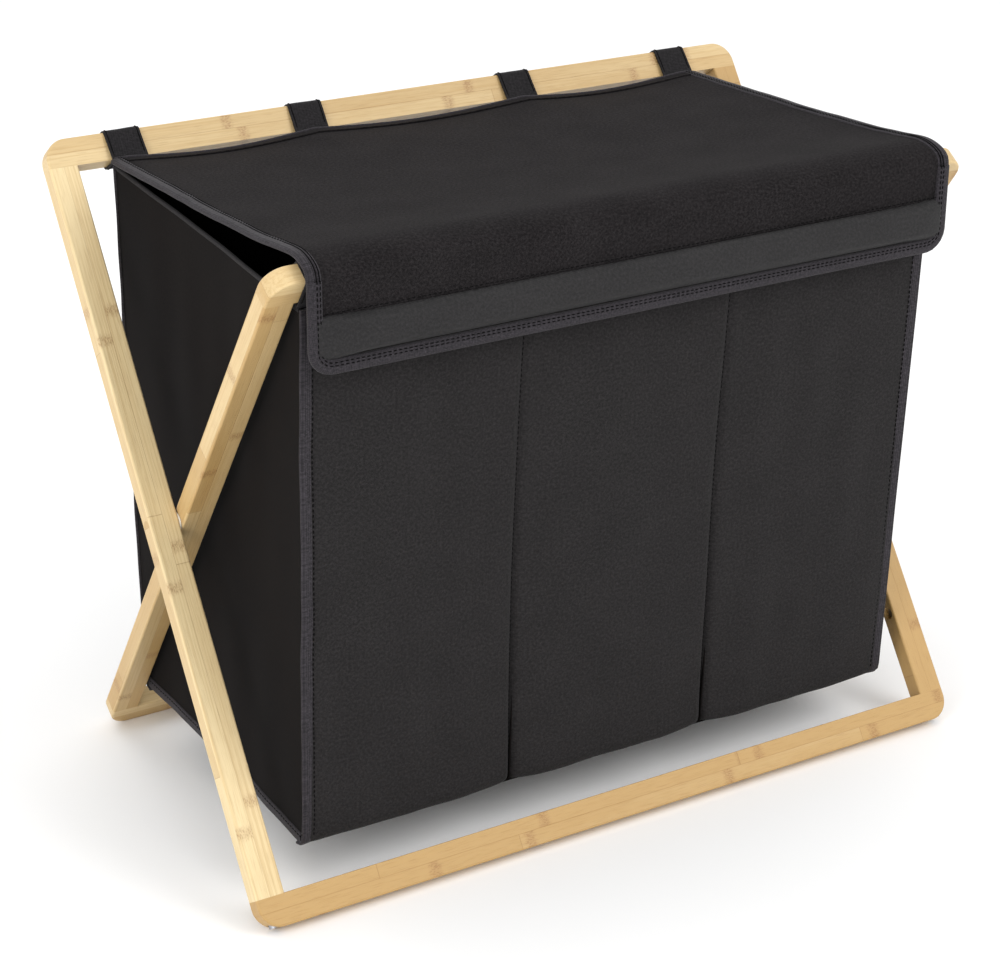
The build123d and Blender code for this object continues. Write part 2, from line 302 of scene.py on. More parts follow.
def threadPaint():
    p = Paint("threadTwist")
    place = p.node("TexCoord", None, None, "Object")
    ply = (p.dot(place, (1, 0.6, 0.8)) * threadLook["twist"]).math("SINE")
    tint = p.blend(ply * 0.5 + 0.5, threadLook["dark"], threadLook["light"])
    return p.set(Base_Color=tint, Roughness=0.85 + ply * 0.05, Normal=p.bump(ply, 0.00003), Specular_IOR_Level=0.08)


paints = {name: clothPaint(name) for name in clothLooks if name != "quilt"}
paints["quilt"] = clothPaint("quilt", fromPlace=True)
paints["thread"] = threadPaint()
paints["zinc_steel"] = zincPaint()
paints["nylon"] = nylonPaint()
paints["beech"] = beechPaint()


def dress(ob, material):
    ob.data.materials.clear()
    ob.data.materials.append(material)
    return ob


for number, (name, ob) in enumerate(sorted(cadNodes.items())):
    finish = slotOf[name]
    if finish == "bamboo":
        low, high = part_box(name)
        lean = tilt if name.startswith(("outer", "pivot")) else -tilt
        upSlope = (0.0, math.sin(lean), math.cos(lean))
        isLeg = name.endswith("leg")
        along, across = (upSlope, (1.0, 0.0, 0.0)) if isLeg else ((1.0, 0.0, 0.0), upSlope)
        # per-bar tone, including painted shade for the shaded bars
        toneAndShade = bambooLook["toneAndShade"].get(name, bambooLook["otherwiseToneAndShade"])
        dress(ob, bambooPaint("bamboo_" + name, along, across, (low + high) / 2, number * 1.37, toneAndShade))
    elif finish in paints and finish != "tape":
        dress(ob, paints[finish])
print("wood and metal painted")


# meshes
def makePiece(name, points, faces, cut, paint, body, sharp=40):
    mesh = bpy.data.meshes.new(name)
    mesh.from_pydata([tuple(q) for q in points], [], [tuple(int(i) for i in f) for f in faces])
    tidy = bmesh.new()
    tidy.from_mesh(mesh)
    bmesh.ops.recalc_face_normals(tidy, faces=tidy.faces)
    tidy.to_mesh(mesh)
    tidy.free()
    layer = mesh.uv_layers.new(name="cut")
    corner = np.zeros(len(mesh.loops), np.int32)
    mesh.loops.foreach_get("vertex_index", corner)
    layer.data.foreach_set("uv", np.asarray(cut, np.float32)[corner].ravel())
    mesh.polygons.foreach_set("use_smooth", [True] * len(mesh.polygons))
    mesh.set_sharp_from_angle(angle=math.radians(sharp))
    ob = bpy.data.objects.new(name, mesh)
    scene.collection.objects.link(ob)
    dress(ob, paints[paint])
    if body:  # a piece that joins two bodies rides on neither
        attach(ob, body)
    return ob


def unit(v):
    return v / np.maximum(np.linalg.norm(v, axis=-1, keepdims=True), 1e-9)


def arcLength(line):
    return np.concatenate([[0], np.cumsum(np.linalg.norm(np.diff(line, axis=0), axis=1))])


def evenly(line, step):
    far = arcLength(line)
    count = max(2, int(round(far[-1] / step)) + 1)
    places = np.linspace(0, far[-1], count)
    return np.stack([np.interp(places, far, line[:, k]) for k in range(line.shape[1])], 1)


def rounded(points, cuts=3):  # corner cutting that keeps the two ends
    line = np.asarray(points, float)
    for _ in range(cuts):
        inner = [line[:-1] * 0.75 + line[1:] * 0.25, line[:-1] * 0.25 + line[1:] * 0.75]
        mixed = np.empty((2 * (len(line) - 1), line.shape[1]))
        mixed[0::2], mixed[1::2] = inner
        line = np.vstack([line[:1], mixed[1:-1], line[-1:]])
    return line


def ripple(u, v, seed, size, count=9):  # gentle unevenness, about -1 to 1
    dice = np.random.default_rng(seed)
    total = 0
    for _ in range(count):
        turn, wave, phase = dice.uniform(0, math.tau), size * dice.uniform(0.5, 1.9), dice.uniform(0, math.tau)
        total = total + np.sin((u * math.cos(turn) + v * math.sin(turn)) * math.tau / wave + phase)
    return total / count ** 0.5 / 1.4


def shell(name, middle, thick, cut, paint, body):  # a cloth of this thickness about a grid of points
    rows, cols, _ = middle.shape
    down, side = np.gradient(middle, axis=0), np.gradient(middle, axis=1)
    normal = unit(np.cross(down, side))
    points = np.vstack([(middle + normal * thick / 2).reshape(-1, 3), (middle - normal * thick / 2).reshape(-1, 3)])
    place = np.arange(rows * cols).reshape(rows, cols)
    far = rows * cols
    quads = np.stack([place[:-1, :-1], place[:-1, 1:], place[1:, 1:], place[1:, :-1]], -1).reshape(-1, 4)
    rim = np.concatenate([place[0, :], place[1:, -1], place[-1, -2::-1], place[-2::-1, 0]])
    faces = list(quads) + list(quads[:, ::-1] + far)
    for a, b in zip(rim[:-1], rim[1:]):
        faces.append((a, a + far, b + far, b))
    flat = np.vstack([cut.reshape(-1, 2)] * 2)
    return makePiece(name, points, faces, flat, paint, body)


def ribbon(name, line, across, width, thick, paint, body, sides=14, square=0.45):
    count = len(line)
    tangent = unit(np.gradient(line, axis=0))
    across = unit(across - tangent * np.sum(across * tangent, axis=1, keepdims=True))
    up = np.cross(tangent, across)
    turns = np.arange(sides) * math.tau / sides
    wide = np.sign(np.cos(turns)) * np.abs(np.cos(turns)) ** square * width / 2
    high = np.sign(np.sin(turns)) * np.abs(np.sin(turns)) ** 0.8 * thick / 2
    points = line[:, None] + across[:, None] * wide[None, :, None] + up[:, None] * high[None, :, None]
    far = arcLength(line)
    cut = np.stack(np.broadcast_arrays(wide[None, :] + turns[None, :] * thick, far[:, None]), -1)
    place = np.arange(count * sides).reshape(count, sides)
    faces = []
    for k in range(sides):
        n = (k + 1) % sides
        faces += list(np.stack([place[:-1, k], place[:-1, n], place[1:, n], place[1:, k]], -1))
    faces += [tuple(place[0]), tuple(place[-1])]
    return makePiece(name, points.reshape(-1, 3), faces, cut.reshape(-1, 2), paint, body, 60)


stitchLook = {"spacing": 0.0046, "length": 0.0033, "radius": 0.0005}


def stitchRow(name, line, outward, body):
    look = stitchLook
    both = evenly(np.hstack([line, outward]), look["spacing"])
    spots, normal = both[:, :3], unit(both[:, 3:])
    tangent = unit(np.gradient(spots, axis=0))
    side = unit(np.cross(tangent, normal))
    half, r = look["length"] / 2, look["radius"]
    rings = ((-half, 0.0), (-half * 0.7, 0.8), (0.0, 1.0), (half * 0.7, 0.8), (half, 0.0))
    points, faces = [], []
    for at, t, n, b in zip(spots, tangent, normal, side):
        base = len(points)
        points.append(at + t * rings[0][0] - n * r * 0.4)
        for along, size in rings[1:-1]:
            for k in range(6):
                angle = k * math.tau / 6
                points.append(at + t * along + (b * math.cos(angle) + n * math.sin(angle)) * r * size)
        points.append(at + t * rings[-1][0] - n * r * 0.4)
        last = len(points) - 1
        for k in range(6):
            m = (k + 1) % 6
            faces.append((base, base + 1 + m, base + 1 + k))
            for ring in range(2):
                low = base + 1 + ring * 6
                faces.append((low + k, low + m, low + 6 + m, low + 6 + k))
            faces.append((last, base + 13 + k, base + 13 + m))
    cut = np.zeros((len(points), 2))
    return makePiece(name, points, faces, cut, "thread", body, 80)


# the places that the frame gives
frontLow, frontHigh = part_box("bag_front_panel")
backLow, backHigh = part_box("bag_back_panel")
baseLow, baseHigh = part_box("bag_bottom")
upperLow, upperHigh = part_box("flap_upper_band")
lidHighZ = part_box("lid_top")[1].z
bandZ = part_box("flap_lower_band")[1].z
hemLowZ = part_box("flap_hem")[0].z
seamAt = Vector(joints["lid_open"]["pos_m"])
frontSeamAt = Vector(joints["bag_front_swing"]["pos_m"])
dividerAt = sum(c.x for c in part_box("bag_right_divider")) / 2
bagHalf = frontHigh.x
clothHalf = 0.0015  # half of the panels' thickness in the frame
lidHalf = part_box("lid_right_binding")[1].x
frontTop = np.array([frontLow.y + clothHalf, frontHigh.z])
frontFoot = np.array([frontHigh.y - clothHalf, frontLow.z])
backTop = np.array([backHigh.y - clothHalf, backHigh.z])
backFoot = np.array([backLow.y + clothHalf, backLow.z])


def crumple(ob):
    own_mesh(ob)
    return ob


def wallY(top, foot, z):
    return top[0] + (foot[0] - top[0]) * (top[1] - z) / (top[1] - foot[1])


# front and back of the bag: three bellied compartments between creased seams
wallLook = {
    "thick": 0.0014,
    "bellyTop": 0.0015,
    "bellyFoot": 0.0042,
    "creaseTop": 0.0018,
    "creaseFoot": 0.0056,
    "creaseWide": 0.0034,
    "seamWander": -0.005,
    "roll": 0.010,
    "scallop": 0.0018,
    "hang": 0.006,
    "ripple": 0.0006,
    "folds": 0.0008,
    "columns": 150,
    "rows": 130,
}
loopPlaces = [sum(c.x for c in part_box(f"back_loop_{k}")) / 2 for k in range(1, 5)]


def hangWave(x):  # a seam hangs a little between the loops
    return np.abs(np.sin(np.interp(x, loopPlaces, range(4)) * math.pi))


def seamDistance(x):
    return np.minimum(np.abs(x - dividerAt), np.abs(x + dividerAt))


def bagWall(name, top, foot, outward, body, seed, node):
    look = wallLook
    base = np.linspace(-bagHalf, bagHalf, look["columns"])
    near = np.concatenate([c + np.linspace(-0.012, 0.012, 17) for c in (-dividerAt, dividerAt)])
    x = np.unique(np.round(np.concatenate([base, near]), 5))
    tall = top[1] - foot[1]
    quarter = look["roll"] * math.pi / 2
    length = tall - look["roll"] + quarter
    s = np.linspace(0, length, look["rows"])
    grid = np.zeros((len(s), len(x), 3))
    far = seamDistance(x)[None, :]
    inner = np.abs(x)[None, :] < dividerAt
    room = np.where(inner, dividerAt, (bagHalf - dividerAt) / 2)
    belly = 1 - np.abs(1 - np.minimum(far, np.where(inner, 1.0, bagHalf - np.abs(x)[None, :])) / room) ** 5
    drop = (s / length)[:, None]
    turn = np.clip((s - (tall - look["roll"])) / look["roll"], 0, math.pi / 2)[:, None]
    z = top[1] - np.minimum(s, tall - look["roll"])[:, None] - look["roll"] * np.sin(turn)
    crease = np.exp(-((far / look["creaseWide"]) ** 2))
    amount = look["bellyTop"] + (look["bellyFoot"] - look["bellyTop"]) * np.clip(drop * 1.25, 0, 1) ** 1.2
    depth = look["creaseTop"] + (look["creaseFoot"] - look["creaseTop"]) * drop ** 1.6
    wave = ripple(x[None, :], s[:, None], seed, 0.14) * look["ripple"] * np.minimum(drop * 4, 1)
    folds = ripple(x[None, :] * 3.0, s[:, None] * 0.35, seed + 3, 0.16) * look["folds"] * np.minimum(drop * 4, 1)
    out = belly * amount - crease * depth + wave + folds
    wander = np.sin(drop * math.pi * 1.05) * look["seamWander"] * np.exp(-((far / 0.05) ** 2))
    grid[..., 0] = x[None, :] + wander
    level = wallY(top, foot, z)
    grid[..., 1] = level + outward * (out * np.cos(turn * 0.8) - look["roll"] * (1 - np.cos(turn)))
    scallop = look["scallop"] * np.exp(-((far / 0.016) ** 2)) * np.clip((drop - 0.9) / 0.1, 0, 1)
    hang = hangWave(x)[None, :] * look["hang"] * np.clip(1 - drop * 12, 0, 1) * (outward > 0)
    grid[..., 2] = z + scallop - out * np.sin(turn) * 0.15 - hang
    cut = np.stack(np.broadcast_arrays(x[None, :], s[:, None]), -1)
    piece = shell(name, grid, look["thick"], cut, "twill", body)
    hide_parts(node)
    flat = (round(2 * bagHalf, 3), round(float(length), 3))
    return piece, grid, flat


bagFront, frontGrid, frontFlat = bagWall("bagFront", frontTop, frontFoot, -1, "bag_front", 11, "bag_front_panel")
bagBack, backGrid, backFlat = bagWall("bagBack", backTop, backFoot, 1, "bag_back", 23, "bag_back_panel")
print("bag walls made")

# sides and dividers: they sag inwards and dip along their top edge
sideLook = {
    "thick": 0.0011,
    "sag": 0.007,
    "dip": 0.005,
    "gap": 0.0022,  # from a wall's middle to the panel's edge
    "lift": 0.0005,
    "columns": 60,
    "rows": 70,
    "ripple": 0.0009,
}
dividerLook = {"thick": 0.0009, "sag": 0.002, "drop": 0.03}


def topEdge(share, drop):  # height of a cross panel's top edge, share 0 at the front
    front, back = frontTop[1] - drop, backTop[1] - drop
    return front + (back - front) * share - sideLook["dip"] * np.sin(math.pi * share) ** 0.7


def crossPanel(name, x, inward, drop, sag, paint, seed, node, thick):
    look = sideLook
    share = np.linspace(0, 1, look["columns"])
    up = np.linspace(0, 1, look["rows"])
    floorZ = frontLow.z + 2 * clothHalf + look["lift"]
    high = topEdge(share, drop)
    grid = np.zeros((len(up), len(share), 3))
    z = floorZ + (high[None, :] - floorZ) * up[:, None]
    yFront = wallY(frontTop, frontFoot, z) + look["gap"]
    yBack = wallY(backTop, backFoot, z) - look["gap"]
    grid[..., 1] = yFront + (yBack - yFront) * share[None, :]
    grid[..., 2] = z
    bow = np.sin(math.pi * share)[None, :] * (0.35 + 0.65 * up[:, None] ** 1.3) * sag
    bow = bow + ripple(share[None, :] * 0.9, up[:, None] * 0.25, seed, 0.22) * look["ripple"] * np.sin(math.pi * share)
    grid[..., 0] = x + inward * bow
    cut = np.stack([grid[..., 1], grid[..., 2]], -1)
    piece = shell(name, grid, thick, cut, paint, "bag_back")
    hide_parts(node)
    size = (round(float(grid[-1, -1, 1] - grid[-1, 0, 1]), 3), round(float(high.max() - floorZ), 3))
    crumple(piece)
    return grid


sideGrids = {}
for side, sign in (("Left", -1), ("Right", 1)):
    low = side.lower()
    sideGrids[sign] = crossPanel("bagSide" + side, sign * (bagHalf - 0.0008), -sign, 0, sideLook["sag"], "lining",
                                 31 + sign, f"bag_{low}_side", sideLook["thick"])
    crossPanel("bagDivider" + side, sign * dividerAt, -sign, dividerLook["drop"], dividerLook["sag"], "lining",
               41 + sign, f"bag_{low}_divider", dividerLook["thick"])

baseLook = {"sag": 0.0008, "thick": 0.0016, "lift": 0.0012, "ripple": 0.0005, "inset": 0.003, "front": 0.004,
            "back": 0.002}
bx, by = np.meshgrid(np.linspace(-bagHalf + baseLook["inset"], bagHalf - baseLook["inset"], 60), np.linspace(0, 1, 40))
baseY = baseLow.y + baseLook["front"] + (baseHigh.y - baseLow.y - baseLook["front"] - baseLook["back"]) * by
baseSag = baseLook["sag"] * np.cos(bx / bagHalf * math.pi / 2) * np.sin(math.pi * by)
baseZ = frontLow.z + baseLook["lift"] + ripple(bx, baseY, 5, 0.2) * baseLook["ripple"] - baseSag
bagBase = shell("bagBase", np.stack([bx, baseY, baseZ], -1), baseLook["thick"], np.stack([bx, baseY], -1), "lining",
                "bag_back")
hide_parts("bag_bottom")
crumple(bagBase)
print("bag sides, dividers and base made")

# tapes that bind the bag's upright corners, its side tops and its base
bindingLook = {"width": 0.0125, "thick": 0.0034, "stitchIn": 0.0045, "edgeIn": 0.0048, "wobble": 0.0006, "wrap": 0.14}
topTapeLook = {"width": 0.0042, "thick": 0.0024, "drop": 0.0012}
baseTapeLook = {"width": 0.011, "thick": 0.003, "rise": 0.003}
wallPieces = {"front": [], "back": []}
for side, sign in (("left", -1), ("right", 1)):
    for wall, grid, outward, body in (("front", frontGrid, -1, "bag_front"), ("back", backGrid, 1, "bag_back")):
        column = 0 if sign < 0 else -1
        line = evenly(grid[:, column].copy(), 0.006)
        wobble = ripple(line[:, 2], line[:, 2] * 0, 61 + sign, 0.12) * bindingLook["wobble"]
        line[:, 0] += -sign * bindingLook["edgeIn"] + wobble
        line[:, 1] += outward * 0.0006
        across = np.tile(np.array([1.0, outward * sign * bindingLook["wrap"], 0.0]), (len(line), 1))
        name = wall + side.capitalize() + "Binding"
        piece = ribbon(name, line, across, bindingLook["width"], bindingLook["thick"], "tape", body)
        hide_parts(f"{wall}_{side}_binding")
        inner = line + np.array([-sign * bindingLook["stitchIn"], outward * (bindingLook["thick"] / 2 + 0.0001), 0])
        facing = np.tile(np.array([0.0, outward, 0.0]), (len(line), 1))
        row = stitchRow(name + "Stitches", inner[:-3], facing[:-3], body)
        wallPieces[wall] += [piece, row]
    grid = sideGrids[sign]
    top = grid[-1].copy()
    top[:, 0] += sign * 0.0002
    across = np.tile(np.array([0.0, 0.0, 1.0]), (len(top), 1))
    crumple(ribbon("sideTopTape" + side.capitalize(), top - np.array([0, 0, topTapeLook["drop"]]), across,
                   topTapeLook["width"], topTapeLook["thick"], "webbing", "bag_back"))
    foot = grid[0].copy() + np.array([sign * 0.0006, 0, baseTapeLook["rise"]])
    piece = crumple(ribbon("baseTape" + side.capitalize(), foot, across, baseTapeLook["width"], baseTapeLook["thick"],
                           "tape", "bag_back"))
    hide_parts(f"bottom_{side}_binding")
    facing = np.tile(np.array([float(sign), 0, 0]), (len(foot), 1))
    crumple(stitchRow("baseTapeStitches" + side.capitalize(), foot + np.array([sign * 0.0016, 0, 0.003]), facing,
                      "bag_back"))
for wall, grid, outward, body in (("front", frontGrid, -1, "bag_front"), ("back", backGrid, 1, "bag_back")):
    for side, sign in (("Left", -1), ("Right", 1)):
        column = int(np.argmin(np.abs(grid[0, :, 0] - sign * dividerAt)))
        line = evenly(grid[4:-10, column].copy(), 0.006)
        line[:, 1] += outward * (wallLook["thick"] / 2 + 0.0001)
        facing = np.tile(np.array([0.0, outward, 0.0]), (len(line), 1))
        wallPieces[wall].append(stitchRow(f"{wall}Seam{side}", line, facing, body))
print("bindings sewn on")

# straps round the two top rails, sewn together at the bag's seams
loopLook = {"thick": 0.0015, "room": 0.0007, "corner": 0.0024, "barWide": 0.026, "barThick": 0.018, "pinch": 0.006,
            "swell": 0.00025, "skew": 0.0012}


def hull(points):
    points = sorted(map(tuple, points))

    def half(sequence):
        kept = []
        for q in sequence:
            while len(kept) > 1:
                a, b = kept[-2], kept[-1]
                if (b[0] - a[0]) * (q[1] - a[1]) - (b[1] - a[1]) * (q[0] - a[0]) > 0:
                    break
                kept.pop()
            kept.append(q)
        return kept

    return np.array(half(points)[:-1] + half(points[::-1])[:-1])


def strap(name, rail, node, lean, seam, body, seed):
    look = loopLook
    railLow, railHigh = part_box(rail)
    centre = np.array([(railLow.y + railHigh.y) / 2, (railLow.z + railHigh.z) / 2])
    up = np.array([math.sin(lean), math.cos(lean)])
    through = np.array([math.cos(lean), -math.sin(lean)])
    reach = look["room"] + look["thick"] / 2
    r = look["corner"] + reach
    spots = []
    for a, b in ((1, 1), (1, -1), (-1, -1), (-1, 1)):
        for turn in np.linspace(0, math.tau, 25):
            u = a * (look["barWide"] / 2 - look["corner"]) + r * math.cos(turn)
            t = b * (look["barThick"] / 2 - look["corner"]) + r * math.sin(turn)
            spots.append(centre + up * u + through * t)
    end = np.array([seam.y, seam.z])
    ring = hull(spots + [end])
    start = int(np.argmin(np.linalg.norm(ring - end, axis=1)))
    ring = np.vstack([np.roll(ring, -start, axis=0), ring[start]])
    line = evenly(ring, 0.0012)
    low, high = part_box(node)
    x = np.linspace(low.x + 0.0005, high.x - 0.0005, 15)
    outward = unit(line - centre)
    far = arcLength(line)
    pinch = np.clip(far / look["pinch"], 0, 1) * np.clip((far[-1] - far) / look["pinch"], 0, 1)
    grid = np.zeros((len(line), len(x), 3))
    swell = ripple(x[None, :], far[:, None], seed, 0.03) * look["swell"]
    grid[..., 0] = x[None, :] + ((np.linspace(-1, 1, len(line)) ** 2)[:, None] * look["skew"] * math.sin(seed * 2.3))
    grid[..., 1] = line[:, 0:1] + outward[:, 0:1] * (np.abs(swell) * pinch[:, None])
    grid[..., 2] = line[:, 1:2] + outward[:, 1:2] * (np.abs(swell) * pinch[:, None])
    grid[0, :, 1:] += (grid[1, :, 1:] - grid[-2, :, 1:]) * 0.25
    grid[-1, :, 1:] -= (grid[1, :, 1:] - grid[-2, :, 1:]) * 0.25
    cut = np.stack(np.broadcast_arrays(x[None, :], far[:, None]), -1)
    piece = shell(name, grid, look["thick"], cut, "webbing", body)
    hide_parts(node)
    for k, column in enumerate((1, -2)):
        lift = np.zeros_like(grid[:, column])
        lift[:, 1:] = outward
        stitchRow(f"{name}Stitches{k + 1}", (grid[:, column] + lift * look["thick"] * 0.55)[6:-6], lift[6:-6], body)


for k in range(1, 5):
    strap(f"loopBack{k}", "outer_top_rail", f"back_loop_{k}", tilt, seamAt, "outer_frame", k)
    strap(f"loopFront{k}", "inner_top_rail", f"front_loop_{k}", -tilt, frontSeamAt, "inner_frame", k + 4)
print("loops wrapped")

# lid: it sags between the rails, bends over the front one and hangs down as the flap
lidLook = {
    "thick": 0.0022,
    "sag": 0.0055,
    "backWave": 0.006,
    "waveReach": 0.05,  # how far the back edge's wave runs into the lid
    "topRun": 0.355,  # from the back seam to the bend
    "ripple": 0.0007,
    "over": 0.0017,
    "tapeWidth": 0.0125,
    "tapeThick": 0.0052,
    "tapeIn": 0.0058,
    "stitchLift": 0.0027,
    "stitchIn": (0.0038, 0.0012),
    "columns": 130,
}
overZ = lidHighZ - lidLook["over"]
flapY = upperLow.y + 0.0013
splitZ = upperHigh.z - 0.0012
profile = rounded([(seamAt.y - 0.0018, seamAt.z + 0.0004), (0.10, seamAt.z + 0.0028), (0.0, seamAt.z + 0.0062),
                   (-0.10, seamAt.z + 0.0102), (-0.150, overZ - 0.0008), (-0.176, overZ + 0.0022),
                   (-0.193, overZ - 0.0004), (flapY + 0.0006, splitZ + 0.0085), (flapY, splitZ)], 4)
profile = evenly(profile, 0.004)
lx = np.linspace(-lidHalf + 0.002, lidHalf - 0.002, lidLook["columns"])
ls = arcLength(profile)
backShare = np.exp(-ls / lidLook["waveReach"])[:, None]
middleShare = (np.sin(np.clip(ls / lidLook["topRun"], 0, 1) * math.pi) ** 1.1)[:, None]


def lidPoints(x):
    x = np.atleast_1d(x)
    grid = np.zeros((len(profile), len(x), 3))
    grid[..., 0] = x[None, :]
    lean = np.gradient(profile, axis=0)
    normal = unit(np.stack([-lean[:, 1], lean[:, 0]], 1))
    normal *= np.where(normal[:, 1:2] < 0, -1, 1)
    dish = -lidLook["sag"] * middleShare * (1 - (np.abs(x[None, :]) / lidHalf) ** 3)
    dish = dish - backShare * hangWave(x)[None, :] * lidLook["backWave"]
    steady = np.clip(1 - (ls[:, None] - 0.34) / 0.02, 0.15, 1)
    dish = dish + ripple(x[None, :], ls[:, None], 71, 0.13) * lidLook["ripple"] * middleShare * steady
    grid[..., 1] = profile[:, 0:1] + normal[:, 0:1] * dish
    grid[..., 2] = profile[:, 1:2] + normal[:, 1:2] * dish
    return grid


lidGrid = lidPoints(lx)
lidTop = shell("lidTop", lidGrid, lidLook["thick"], np.stack(np.broadcast_arrays(lx[None, :], ls[:, None]), -1),
               "lidTwill", "lid")
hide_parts("lid_top")
lidTrim = []
for side, sign in (("left", -1), ("right", 1)):
    edge = lidPoints(sign * (lidHalf - lidLook["tapeIn"]))[:, 0]
    edge[:, 0] += ripple(ls, ls * 0, 91 + sign, 0.05) * 0.0004 * np.clip((ls[-1] - ls) / 0.03, 0, 1)
    sideways = np.tile(np.array([1.0, 0.0, 0.0]), (len(edge), 1))
    tape = ribbon("lidTape" + side.capitalize(), edge, sideways, lidLook["tapeWidth"], lidLook["tapeThick"], "tape",
                  "lid")
    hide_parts(f"lid_{side}_binding")
    over = np.gradient(edge, axis=0)
    facing = unit(np.stack([np.zeros(len(edge)), -over[:, 2], over[:, 1]], 1))
    facing *= np.where((facing[:, 2:3] < -0.2) | (facing[:, 1:2] > 0), -1, 1)
    rows = []
    for k, shift in enumerate(lidLook["stitchIn"]):
        line = edge + facing * lidLook["stitchLift"] - np.array([sign * shift, 0, 0])
        rows.append(crumple(stitchRow(f"lidTape{side.capitalize()}Stitches{k + 1}", line, facing, "lid")))
    lidTrim += [crumple(tape)] + rows
crumple(lidTop)

# the lid's back seam: a tape on the bag's edge, and a soft fold over it that rides on no body
hemLook = {
    "tall": 0.0085,
    "thick": 0.003,
    "slant": (0, 0.35, -1.0),
    "foldThick": 0.0009,
    "foldDown": 0.007,
    "foldOver": 0.012,
    "foldEndsIn": 0.012,
    "bendOver": 0.009,
    "lift": 0.0017,
    "columns": 150,
    "foldColumns": 180,
}
hemX = np.linspace(-bagHalf, bagHalf, hemLook["columns"])
hemLine = np.stack([hemX, seamAt.y + 0.0008 + 0 * hemX, seamAt.z - 0.0006 - hangWave(hemX) * lidLook["backWave"]], 1)
hemAcross = np.tile(np.array(hemLook["slant"]), (len(hemX), 1))
backHem = ribbon("lidBackHem", hemLine, hemAcross, hemLook["tall"], hemLook["thick"], "tape", "bag_back")
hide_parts("lid_back_hem")
foldPath = evenly(rounded([(0.0026, -hemLook["foldDown"]), (0.0026, 0.0008), (-0.001, hemLook["lift"]),
                           (-hemLook["foldOver"], hemLook["lift"] + 0.0009)], 3), 0.0009)
foldX = np.linspace(-lidHalf + hemLook["foldEndsIn"], lidHalf - hemLook["foldEndsIn"], hemLook["foldColumns"])
fade = np.exp(-np.clip(-foldPath[:, 0], 0, 1) / lidLook["waveReach"])[:, None]
foldGrid = np.zeros((len(foldPath), len(foldX), 3))
foldGrid[..., 0] = foldX[None, :]
foldGrid[..., 1] = seamAt.y + foldPath[:, 0:1]
foldGrid[..., 2] = seamAt.z + foldPath[:, 1:2] - hangWave(foldX)[None, :] * lidLook["backWave"] * fade
foldCut = np.stack(np.broadcast_arrays(foldX[None, :], arcLength(foldPath)[:, None]), -1)
seamFold = shell("lidSeamFold", foldGrid, hemLook["foldThick"], foldCut, "lidTwill", None)
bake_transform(seamFold)

# flap: a plain upper band, a padded lower band and a tape round its rim
flapLook = {
    "hollow": 0.0016,
    "thick": 0.0022,
    "wave": 0.0007,
    "waveSeed": 83,
    "corner": 0.014,
    "tapeWidth": 0.0125,
    "tapeThick": 0.0056,
    "tapeIn": 0.0058,
    "tapeRise": 0.0045,
    "stitchIn": (0.0038, 0.0012),
    "stitchLift": 0.0002,
}


def flapWaves(x):  # the whole flap shares one gentle wave
    return ripple(x, x * 0, flapLook["waveSeed"], 0.2) * flapLook["wave"]


fx, fs = np.meshgrid(lx, np.linspace(0, 1, 16))
upY = flapY + flapLook["hollow"] * np.sin(math.pi * fs * 0.5) + flapWaves(fx) * fs
upZ = splitZ + 0.0006 + (bandZ - 0.0036 - splitZ) * fs
flapUpper = shell("flapUpper", np.stack([fx, upY, upZ], -1), flapLook["thick"], np.stack([fx, upZ], -1), "lidTwill",
                  "lid_flap")
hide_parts("flap_upper_band")

padLook = {
    "thick": 0.0062,
    "endsIn": 0.0045,
    "above": 0.0022,  # over the lower band's top
    "below": 0.0085,  # from the flap's foot up to the pad
    "forward": 0.0012,
    "fill": 0.45,
    "voxel": 0.004,
    "pressure": 4.0,
    "frames": 18,
    "cap": 0.0024,
}
padX = np.linspace(-lidHalf + padLook["endsIn"], lidHalf - padLook["endsIn"], 150)
padTop, padFoot = bandZ + padLook["above"], hemLowZ + padLook["below"]
padY = flapY - padLook["forward"] + flapWaves(padX)
padLine = np.stack([padX, padY, np.full(len(padX), (padTop + padFoot) / 2)], 1)
padUp = np.tile(np.array([0, 0, 1.0]), (len(padX), 1))
flapPad = ribbon("flapPad", padLine, padUp, padTop - padFoot, padLook["thick"], "quilt", "lid_flap", sides=28,
                 square=0.5)
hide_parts("flap_lower_band", "flap_stiffener")


